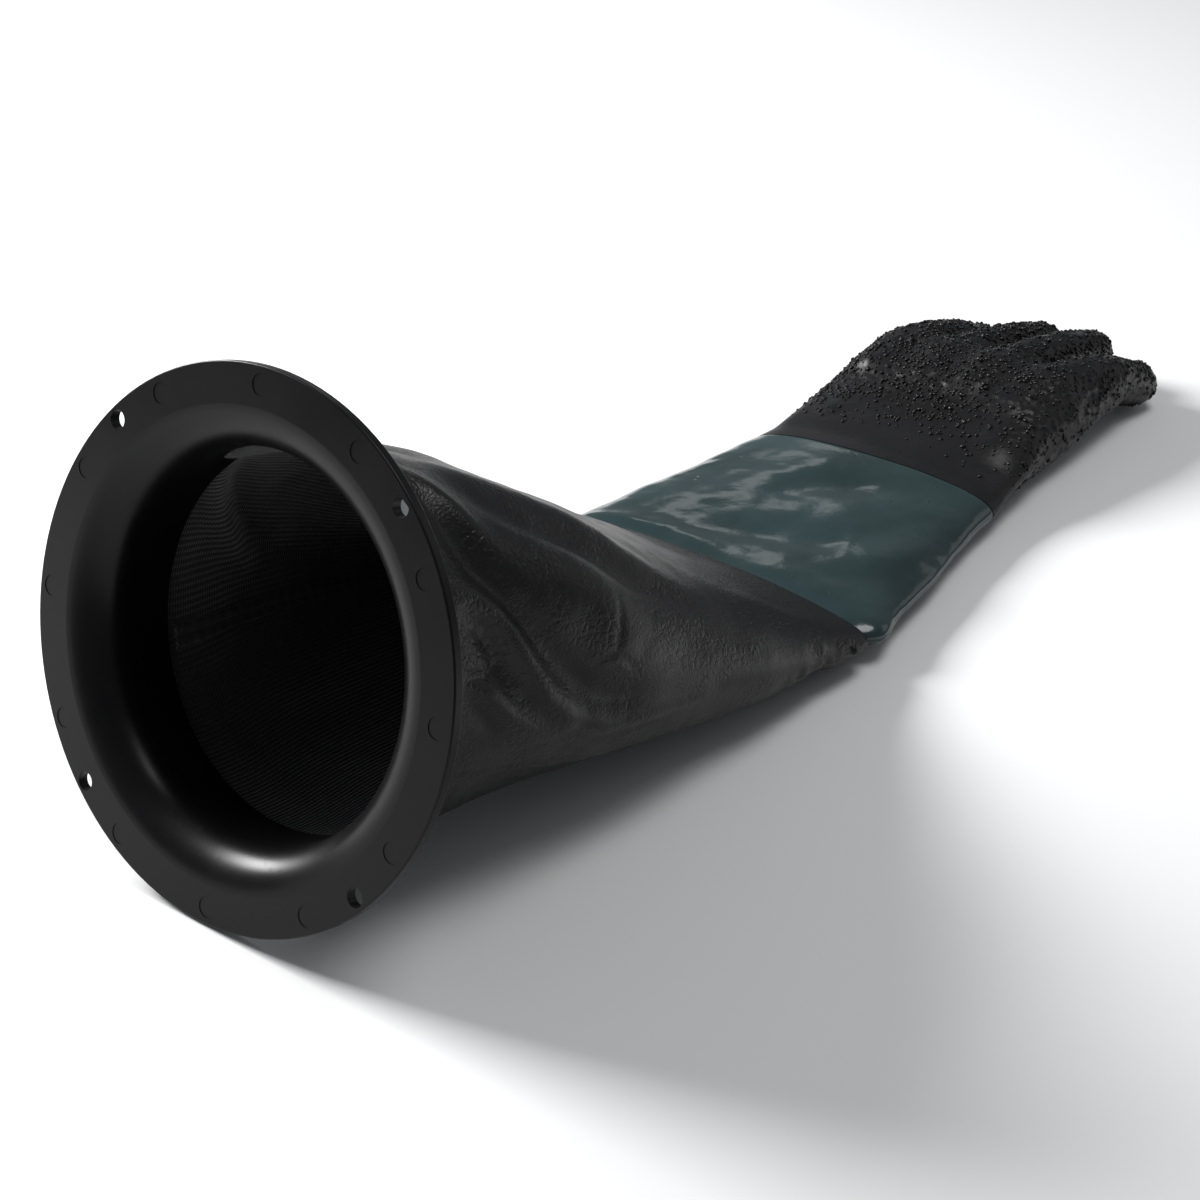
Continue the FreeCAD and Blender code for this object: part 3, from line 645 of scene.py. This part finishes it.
def build_sleeve():
    """Leatherette outer, knit backing and the two seam allowances inside."""
    along = np.concatenate([np.linspace(SLEEVE_START, 43, 8), np.linspace(45, SLEEVE_END, 150)])
    around = np.linspace(0, 360, 360, endpoint=False)
    grid = wrinkled_sleeve(along, around)
    normals = grid_normals(grid)
    shell = cloth_tube("sleeve_leatherette", grid, normals, LEATHER_THICKNESS, turn_under=14)
    finish_with(shell, LEATHERETTE)
    panels = ["sleeve_panel_top", "sleeve_panel_bottom", "sleeve_end_panel_top", "sleeve_end_panel_bottom"]
    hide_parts(*panels)

    # the backing stops short of the turned hem, on every second column
    lining_grid = (grid - normals * (LEATHER_THICKNESS + 0.1))[:-8, ::2]
    lining_grid[..., 2] = np.maximum(lining_grid[..., 2], FLOOR_CLEARANCE + LEATHER_THICKNESS)
    lining = cloth_tube("sleeve_knit_backing", lining_grid, grid_normals(lining_grid), KNIT_THICKNESS)
    finish_with(lining, KNIT)
    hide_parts("sleeve_backing", "sleeve_end_backing")
    pieces = [shell, lining]

    inner = lining_grid - grid_normals(lining_grid) * KNIT_THICKNESS
    rows = [np.argmax(along > place) for place in SEAM_SPAN]
    for side, line in (("right", SEAM_LINE), ("left", FAR_SEAM_LINE)):
        pieces.append(build_seam(side, line, inner, along[: len(inner)], around[::2], rows))
    for piece in pieces:
        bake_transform(piece)


# The seam allowance's section: share of its half width, share of its height.
SEAM_SECTION = [
    (-1.0, 0.05), (-0.96, 0.8), (-0.6, 1.0), (-0.1, 1.0), (0.0, 0.55), (0.1, 1.0), (0.6, 1.0), (0.96, 0.8),
    (1.0, 0.05),
]


def build_seam(side, line, inner, along, around, rows):
    """The folded seam allowance, stitched flat against the backing inside the sleeve."""
    half_width = 5.5
    height = 1.1
    angles = np.interp(along, [point[1] for point in line], [point[0] for point in line])
    normals = grid_normals(inner)
    columns_round = len(around)

    def backing_at(row, share, reach):
        """The backing's point and normal at a share of the seam's half width."""
        angle = (angles[row] + math.degrees(share * half_width / reach)) % 360
        column = angle / 360 * columns_round
        low = int(column) % columns_round
        part = column - int(column)
        point = inner[row, low] * (1 - part) + inner[row, (low + 1) % columns_round] * part
        return point, normals[row, low]

    sections = []
    for row in range(*rows):
        reach = np.linalg.norm(inner[row, 0] - inner[row, columns_round // 2]) / 2
        ring = []
        for share, lift in SEAM_SECTION:
            point, normal = backing_at(row, share, reach)
            wave = 0.25 * math.sin(along[row] * 0.8) * (1 if abs(share) > 0.5 else 0)
            ring.append(point - normal * (0.12 + height * lift + wave * lift))
        for share, _ in SEAM_SECTION[::-1]:
            point, normal = backing_at(row, share, reach)
            ring.append(point - normal * 0.08)
        sections.append(ring)
    points = np.array(sections)
    count, columns = points.shape[:2]
    faces = ring_faces(count, columns, flip=True) + end_caps(count, columns, flip=True)
    piece = new_mesh(f"seam_allowance_{side}", points, faces)
    finish_with(piece, SEAM_TAPE)
    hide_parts(f"sleeve_seam_{side}", f"sleeve_end_seam_{side}")
    return piece


# ---------------------------------------------------------------------------------------------
# Gauntlet
# ---------------------------------------------------------------------------------------------

GAUNTLET_FOLDS = [
    ("hem_bulge_left", [(150, 330), (120, 336), (95, 334)], 9, 1.6),
    ("hem_bulge_right", [(75, 336), (50, 340), (28, 350)], 11, 0.8),
    ("dip_middle", [(100, 350), (82, 372), (64, 384)], 15, -2.4),
    ("swell_right", [(55, 372), (40, 396), (35, 420)], 13, 1.8),
    ("long_dip", [(112, 400), (92, 430), (76, 452)], 14, -2.0),
    ("far_swell", [(120, 372), (108, 410), (100, 450)], 14, 1.6),
    ("edge_dip", [(24, 365), (18, 400), (14, 440)], 9, -1.4),
]
SQUARENESS = 2.25
COAT_THICKNESS = 1.3
COTTON_THICKNESS = 0.8


def wrist_line(points):
    """How far along the black dip starts beside each point: its edge runs a little askew."""
    return WRIST_EDGE + points[..., 0] * WRIST_SKEW


def dipped_tube(ribs, along, around, folds, seed):
    """A dipped PVC tube with gentle folds, laid flat on the bench."""
    grid = tube_grid(ribs, along, around, SQUARENESS)
    normals = grid_normals(grid)
    push = np.zeros(grid.shape[:2])
    for _, path, width, height in folds:
        push += fold_lift(grid, laid_path(ribs, path, SQUARENESS), width, height)
    push += noise_field(grid, 40, seed) * 0.8 + noise_field(grid, 14, seed + 1) * 0.15
    held = ease(grid[..., 1], 322, 334) * (1 - ease(grid[..., 1], 452, 476))
    grid = grid + normals * (push * held)[..., None]
    grid[..., 2] = np.maximum(grid[..., 2], FLOOR_CLEARANCE)
    return grid


def build_gauntlet():
    """Green coat from inside the hem to just under the gritted dip, and its cotton liner."""
    along = np.linspace(303, GAUNTLET_END, 120)
    around = np.linspace(0, 360, 288, endpoint=False)
    grid = dipped_tube(GAUNTLET_RIBS, along, around, GAUNTLET_FOLDS, 21)
    edge = wrist_line(grid)
    grid = grid - grid_normals(grid) * ease(grid[..., 1] - edge, -1, 1.5)[..., None] * 0.8
    normals = grid_normals(grid)
    coat = cloth_tube("green_gauntlet", grid, normals, COAT_THICKNESS)
    finish_with(coat, GREEN_PVC)
    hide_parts("gauntlet_coat")
    liner_grid = (grid - normals * (COAT_THICKNESS + 0.2))[::3, ::3]
    liner = cloth_tube("gauntlet_cotton", liner_grid, grid_normals(liner_grid), COTTON_THICKNESS)
    finish_with(liner, COTTON)
    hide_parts("gauntlet_liner")
    for piece in (coat, liner):
        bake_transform(piece)


# ---------------------------------------------------------------------------------------------
# Hand
# ---------------------------------------------------------------------------------------------


def palm_distance(points):
    """Signed distance, near enough, to the palm's skin, in millimetres."""
    along = points[:, 1]
    beside = np.clip(along, HAND_RIBS[0][0], HAND_RIBS[-1][0])
    across, height, half_width, half_height, _ = rib_at(HAND_RIBS, beside)
    side = np.abs(points[:, 0] - across) / half_width
    rise = np.abs(points[:, 2] - height) / half_height
    reach = (side ** SQUARENESS + rise ** SQUARENESS) ** (1 / SQUARENESS) + 1e-9
    power = 2 * SQUARENESS - 2
    slope = np.sqrt(side ** power / half_width ** 2 + rise ** power / half_height ** 2)
    slope = slope / reach ** (SQUARENESS - 1) + 1e-9
    return np.maximum((reach - 1) / slope, along - HAND_RIBS[-1][0])


def finger_distance(points, line):
    """Signed distance to a finger: round cones strung along its centre line."""
    best = np.full(len(points), 1e9)
    stations = np.array([(across, along, height, radius) for along, across, height, radius in line], float)
    for start, end in zip(stations[:-1], stations[1:]):
        axis = end[:3] - start[:3]
        share = np.clip((points - start[:3]) @ axis / (axis @ axis), 0, 1)
        radius = start[3] + (end[3] - start[3]) * share
        best = np.minimum(best, np.linalg.norm(points - start[:3] - share[:, None] * axis, axis=1) - radius)
    return best


def soft_union(first, second, reach):
    """The smaller of two distances, rounded where they meet."""
    share = np.clip(0.5 + 0.5 * (second - first) / reach, 0, 1)
    return second * (1 - share) + first * share - reach * share * (1 - share)


def hand_distance(points):
    """Signed distance to the whole glove hand: palm, four draped fingers and the tucked thumb."""
    # the fingers melt into each other at the knuckles and part more sharply towards their tips
    web = 8.0 - 5.0 * ease(points[:, 1], 602, 650)
    distances = {name: finger_distance(points, line) for name, line in FINGERS.items()}
    drape = finger_distance(points, LITTLE_FINGER_DRAPE)
    distances["little_finger"] = soft_union(distances["little_finger"], drape, 6.0)
    fingers = distances["index_finger"]
    for name in ("middle_finger", "ring_finger", "little_finger"):
        fingers = soft_union(fingers, distances[name], web)
    shape = soft_union(palm_distance(points), fingers, 10.0)
    return soft_union(shape, distances["thumb"], 4.0)


def hand_skin(name, voxel, inset):
    """A closed mesh of the hand's skin, pulled onto the level of the distance field."""
    blocks = []
    faces = []
    count = 0
    around = np.linspace(0, 360, 64, endpoint=False)
    tubes = [tube_grid(HAND_RIBS, np.linspace(467, 612, 24), around, SQUARENESS)]
    for line in [*FINGERS.values(), LITTLE_FINGER_DRAPE]:
        ribs = [(along, across, height, radius, radius, 0) for along, across, height, radius in line]
        last = ribs[-1]
        ribs.append((last[0] + last[3] * 0.9, last[1], last[2] - 3, last[3] * 0.4, last[3] * 0.4, 0))
        tubes.append(tube_grid(ribs, np.linspace(ribs[0][0], ribs[-1][0], 30), around[::2]))
    for tube in tubes:
        rows, columns = tube.shape[:2]
        blocks.append(tube.reshape(-1, 3))
        faces += ring_faces(rows, columns, count) + end_caps(rows, columns, count)
        count += rows * columns
    rough = new_mesh(name, np.concatenate(blocks), faces)
    remesh = rough.modifiers.new("skin", "REMESH")
    remesh.mode = "VOXEL"
    remesh.voxel_size = voxel * MM
    depsgraph = bpy.context.evaluated_depsgraph_get()
    mesh = bpy.data.meshes.new_from_object(rough.evaluated_get(depsgraph))
    bpy.data.objects.remove(rough)
    points = np.empty(len(mesh.vertices) * 3)
    mesh.vertices.foreach_get("co", points)
    points = points.reshape(-1, 3) / MM
    points[:, 1] -= PORT_Y
    polygons = [list(polygon.vertices) for polygon in mesh.polygons]
    bpy.data.meshes.remove(mesh)
    for _ in range(5):
        value = hand_distance(points) + inset
        points = points - np.clip(value, -3, 3)[:, None] * field_slope(points)
    return points, polygons


def field_slope(points, step=0.25):
    """Unit gradient of the hand's distance field."""
    slope = np.empty_like(points)
    for axis in range(3):
        shift = np.zeros(3)
        shift[axis] = step
        slope[:, axis] = hand_distance(points + shift) - hand_distance(points - shift)
    return slope / (np.linalg.norm(slope, axis=1, keepdims=True) + 1e-9)


KNUCKLE_CUT = 585.0
THUMB_CUT = 547.0
HAND_PARTS = ["palm"] + list(FINGERS)


def owners(points):
    """Which moving part each point belongs to: 0 for the palm, or a finger's number from 1."""
    distances = np.stack([finger_distance(points, line) for line in FINGERS.values()])
    fingers, thumb = distances[:-1], distances[-1]
    nearest = fingers.argmin(axis=0) + 1
    owner = np.where(points[:, 1] > KNUCKLE_CUT, nearest, 0)
    on_thumb = (thumb < fingers.min(axis=0)) & (points[:, 1] > THUMB_CUT)
    on_thumb &= thumb < palm_distance(points) - 0.5
    return np.where(on_thumb, HAND_PARTS.index("thumb"), owner)


def vertex_normals(points, polygons):
    """Area-weighted vertex normals."""
    normals = np.zeros_like(points)
    corners = np.array([polygon[:3] + polygon[-1:] for polygon in polygons])
    placed = points[corners]
    face = np.cross(placed[:, 2] - placed[:, 0], placed[:, 3] - placed[:, 1])
    for corner in range(4):
        np.add.at(normals, corners[:, corner], face)
    return normals / (np.linalg.norm(normals, axis=1, keepdims=True) + 1e-12)


def sock(part, inset):
    """A plain closed skin just under the coat, so that a bent finger never shows a gap at its root."""
    around = np.linspace(0, 360, 40, endpoint=False)
    if part == "palm":
        grid = tube_grid(HAND_RIBS, np.linspace(500, 604, 30), around, SQUARENESS)
    else:
        ribs = [(along, across, height, radius, radius, 0) for along, across, height, radius in FINGERS[part]]
        start = THUMB_CUT - 4 if part == "thumb" else KNUCKLE_CUT - 7
        grid = tube_grid(ribs, np.linspace(start, ribs[-1][0], 30), around)
    grid = grid - grid_normals(grid) * inset
    grid[..., 2] = np.maximum(grid[..., 2], FLOOR_CLEARANCE)
    rows, columns = grid.shape[:2]
    faces = ring_faces(rows, columns) + end_caps(rows, columns, flip=True)
    return grid.reshape(-1, 3), faces, grid_normals(grid).reshape(-1, 3)


# A crumb of grit is a twenty-sided lump, stretched and turned at random.
GOLDEN = (1 + math.sqrt(5)) / 2
CRUMB_CORNERS = np.array([
    (-1, GOLDEN, 0), (1, GOLDEN, 0), (-1, -GOLDEN, 0), (1, -GOLDEN, 0),
    (0, -1, GOLDEN), (0, 1, GOLDEN), (0, -1, -GOLDEN), (0, 1, -GOLDEN),
    (GOLDEN, 0, -1), (GOLDEN, 0, 1), (-GOLDEN, 0, -1), (-GOLDEN, 0, 1),
]) / math.hypot(1, GOLDEN)
CRUMB_FACES = [
    (0, 11, 5), (0, 5, 1), (0, 1, 7), (0, 7, 10), (0, 10, 11),
    (1, 5, 9), (5, 11, 4), (11, 10, 2), (10, 7, 6), (7, 1, 8),
    (3, 9, 4), (3, 4, 2), (3, 2, 6), (3, 6, 8), (3, 8, 9),
    (4, 9, 5), (2, 4, 11), (6, 2, 10), (8, 6, 7), (9, 8, 1),
]
CRUMB_COUNT = 5200


def crumbs(points, normals, count, seed):
    """Crumbs of grit stuck on the skin at random places, more of them away from the wrist."""
    random = np.random.default_rng(seed)
    # thickest on the back of the hand, in drifts, and thinner towards the little finger
    likely = ease(points[:, 1], 486, 532) ** 1.3 * (0.3 + 0.7 * ease(normals[:, 2], -0.3, 0.4))
    likely *= 0.45 + 0.55 * ease(noise_field(points, 30, 41, 1), -0.3, 0.2)
    likely *= 1.0 - 0.45 * ease(points[:, 0], 15, 55)
    hosts = random.choice(len(points), count, replace=False, p=likely / likely.sum())
    blobs, blob_normals = [], []
    for host in hosts:
        radius = random.uniform(0.45, 1.3)
        stretch = random.uniform(0.55, 1.7, 3)
        turn = np.linalg.qr(random.normal(size=(3, 3)))[0]
        turn *= np.sign(np.linalg.det(turn))
        shape = (CRUMB_CORNERS * random.uniform(0.8, 1.2, (12, 1)) * stretch) @ turn
        normal = normals[host]
        shape -= (shape @ normal)[:, None] * normal * 0.45
        blob = points[host] + normal * radius * 0.1 + shape * radius
        blob[:, 2] = np.maximum(blob[:, 2], FLOOR_CLEARANCE / 2)
        blobs.append(blob)
        blob_normals.append(shape / np.linalg.norm(shape, axis=1, keepdims=True))
    return hosts, blobs, blob_normals


def split_hand(prefix, points, polygons, normals, grit=None, underlay=None):
    """Cut the skin into palm and fingers along faces, keeping the whole hand's shading at the cuts."""
    owner = owners(np.array([points[polygon].mean(axis=0) for polygon in polygons]))
    pieces = {}
    for number, part in enumerate(HAND_PARTS):
        own = [polygon for polygon, held in zip(polygons, owner) if held == number]
        used = np.unique(np.concatenate([np.array(polygon) for polygon in own]))
        index = {old: new for new, old in enumerate(used)}
        faces = [[index[corner] for corner in polygon] for polygon in own]
        blocks, shading = [points[used]], [normals[used]]
        count = len(used)
        if underlay is not None:
            under, under_faces, under_normals = sock(part, underlay)
            faces += [[corner + count for corner in face] for face in under_faces]
            blocks.append(under)
            shading.append(under_normals)
            count += len(under)
        if grit is not None:
            held_here = {corner for polygon in own for corner in polygon}
            for host, blob, blob_normal in zip(*grit):
                if host in held_here and (part != "palm" or points[host][1] < KNUCKLE_CUT - 1):
                    faces += [[corner + count for corner in face] for face in CRUMB_FACES]
                    blocks.append(blob)
                    shading.append(blob_normal)
                    count += len(blob)
        piece = new_mesh(f"{prefix}_{part}", np.concatenate(blocks), faces)
        piece.data.normals_split_custom_set_from_vertices(np.concatenate(shading).tolist())
        pieces[part] = piece
    return pieces


def bend_hand(pieces):
    """Bake the placement of the palm and of each finger into its mesh."""
    for part, piece in pieces.items():
        if part == "palm":
            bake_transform(piece)
            continue
        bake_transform(piece)


# How deep in its own part's shape a liner face has to lie to be kept.
LINER_DEPTH = 1.6


def build_hand():
    """Gritted skin with crumbs of grit, split at the knuckles, and its cotton liner."""
    points, polygons = hand_skin("hand_skin", voxel=1.5, inset=0.0)
    slope = field_slope(points)
    away = ease(points[:, 1], 505, 560)
    lumps = noise_field(points, 3.4, 31, 2)
    lumps = np.clip(lumps - 0.1, 0, 0.4) * 2.2
    soft = noise_field(points, 28, 33, 2) * 0.35
    points = points + slope * (lumps * away + soft * ease(points[:, 1], 482, 510))[:, None]
    points[:, 2] = np.maximum(points[:, 2], FLOOR_CLEARANCE)
    edge = wrist_line(points)
    ahead = points[:, 1] - edge
    kept = [polygon for polygon in polygons if ahead[polygon].min() > -1.5]
    points[:, 1] = np.maximum(points[:, 1], edge)
    normals = vertex_normals(points, kept)
    grit = crumbs(points, normals, count=CRUMB_COUNT, seed=5)
    pieces = split_hand("gritted", points, kept, normals, grit, underlay=1.0)
    for part, piece in pieces.items():
        finish_with(piece, GRITTED_PVC)
        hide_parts(f"{part}_coat")
    bend_hand(pieces)

    inner, inner_polygons = hand_skin("hand_lining", voxel=3.0, inset=COAT_THICKNESS + 1.0)
    depths = [palm_distance(inner)] + [finger_distance(inner, line) for line in FINGERS.values()]
    # the liner keeps only what lies deep in its own part, so that less of it shows at a bent joint's root
    sunk = (np.array(depths) < -LINER_DEPTH) & (inner[:, 1] > GAUNTLET_END + 1)
    middles = np.array([inner[polygon].mean(axis=0) for polygon in inner_polygons])
    inner_polygons = [
        polygon for polygon, part in zip(inner_polygons, owners(middles)) if sunk[part, polygon].all()
    ]
    linings = split_hand("cotton", inner, inner_polygons, vertex_normals(inner, inner_polygons))
    for part, piece in linings.items():
        finish_with(piece, COTTON)
        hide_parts(f"{part}_liner")
    bend_hand(linings)


# ---------------------------------------------------------------------------------------------
# Hard parts keep their own shapes
# ---------------------------------------------------------------------------------------------


def finish_hard_parts():
    """Materials on the flange and the clamp."""
    for node, material in (
        ("port_flange", ABS),
        ("clamp_band", CLAMP_STEEL),
        ("clamp_housing", CLAMP_STEEL),
        ("clamp_screw", CLAMP_STEEL),
    ):
        for slot in frame["nodes"][node].material_slots:
            slot.material = material


# ---------------------------------------------------------------------------------------------
# Studio
# ---------------------------------------------------------------------------------------------

CAMERA_AZIMUTH = 39.264
CAMERA_ELEVATION = 29.0
CAMERA_PLACE = (695.34, -612.35, 647.84)
LENS = 77.17


def softbox(name, place, target, size, power):
    """A rectangular area light aimed at a point."""
    light = bpy.data.lights.new(name, "AREA")
    light.shape = "RECTANGLE"
    light.size = size[0]
    light.size_y = size[1]
    light.energy = power
    lamp = bpy.data.objects.new(name, light)
    lamp.location = place
    lamp.rotation_euler = (Vector(target) - Vector(place)).to_track_quat("-Z", "Y").to_euler()
    bpy.context.scene.collection.objects.link(lamp)


def build_studio():
    """Pale floor, plain soft light and the camera."""
    mesh = bpy.data.meshes.new("bench")
    half = 6.0
    corners = [(-half, -half, 0), (half, -half, 0), (half, half, 0), (-half, half, 0)]
    mesh.from_pydata(corners, [], [(0, 1, 2, 3)])
    mesh.materials.append(pale_bench())
    bench = bpy.data.objects.new("bench", mesh)
    bpy.context.scene.collection.objects.link(bench)

    world = bpy.data.worlds.new("studio_sky")
    bpy.context.scene.world = world
    world.use_nodes = True
    world.node_tree.nodes["Background"].inputs["Color"].default_value = linear("#eef2f8")
    world.node_tree.nodes["Background"].inputs["Strength"].default_value = 0.22

    middle = row_point(260, 0, 60)
    softbox("left_softbox", (-1.75, -0.4, 1.05), row_point(0, 0, 60), (0.9, 0.7), 86)
    softbox("back_left_softbox", (-1.35, 1.7, 0.95), middle, (0.45, 0.3), 0.4)
    softbox("back_right_softbox", (1.0, 1.9, 1.0), middle, (1.2, 0.7), 1.2)
    softbox("overhead_softbox", (0.5, 0.3, 2.2), middle, (1.1, 0.9), 18)
    bpy.context.scene.view_settings.view_transform = "Standard"

    camera = bpy.data.cameras.new("camera")
    camera.lens = LENS
    camera.sensor_width = 36.0
    view = bpy.data.objects.new("camera", camera)
    view.location = row_point(CAMERA_PLACE[1], CAMERA_PLACE[0], CAMERA_PLACE[2])
    view.rotation_euler = (math.radians(90 - CAMERA_ELEVATION), 0, math.radians(CAMERA_AZIMUTH))
    bpy.context.scene.collection.objects.link(view)
    bpy.context.scene.camera = view


build_sleeve()
build_gauntlet()
build_hand()
finish_hard_parts()
build_studio()
